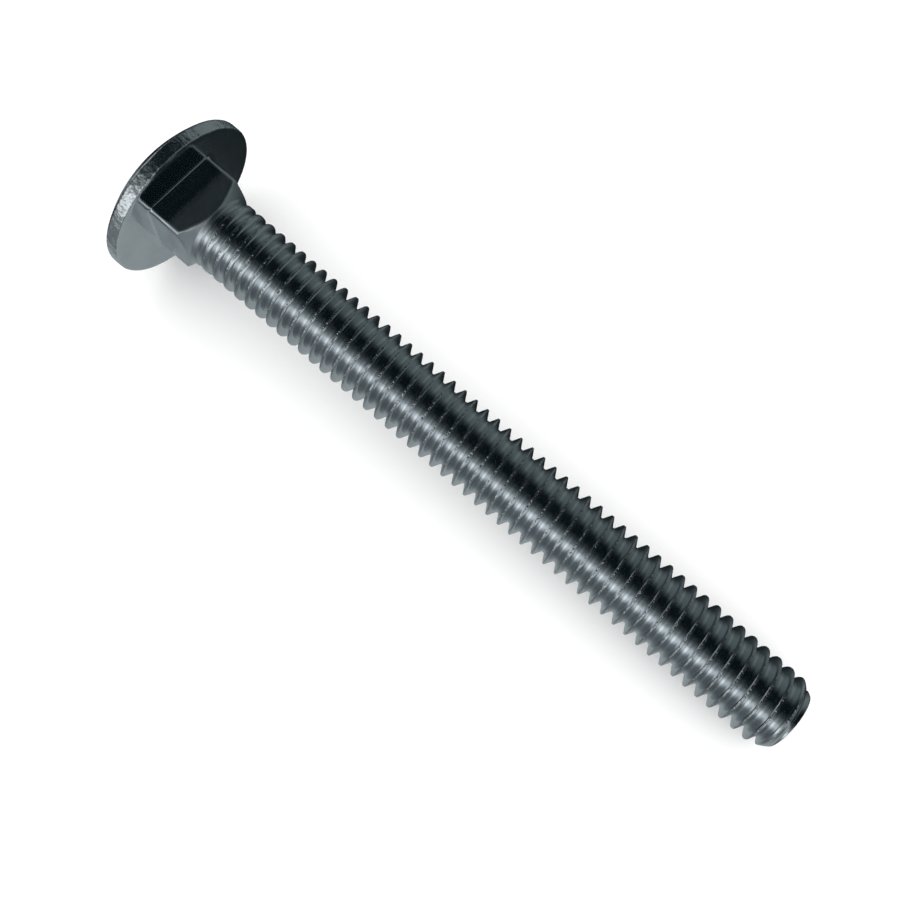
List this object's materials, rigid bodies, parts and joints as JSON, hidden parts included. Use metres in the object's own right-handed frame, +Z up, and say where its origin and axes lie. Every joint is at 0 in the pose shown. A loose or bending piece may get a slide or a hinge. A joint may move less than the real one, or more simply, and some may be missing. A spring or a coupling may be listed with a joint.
{
  "type": "leveling bolt",
  "caption": "Carriage-type leveling bolt: shallow domed round head, square anti-turn neck and a shank threaded over its full length, in zinc-plated steel.",
  "frame": {"origin": "on the floor, under the middle of the bolt's bounding box", "axes": "+X along the bolt towards its tip, as seen from above; +Z up; the bolt lies on the rim of its head and on its thread, so its own axis slopes down towards the tip by 3.9 degrees"},
  "size_m": [0.0806, 0.018, 0.018],
  "materials": {
    "zinc_plated_steel": "bright zinc plate with a bluish cast, smooth on the flats and finely dimpled on the head"
  },
  "bodies": {
    "root": {"bolt": "zinc_plated_steel"}
  },
  "joints": []
}
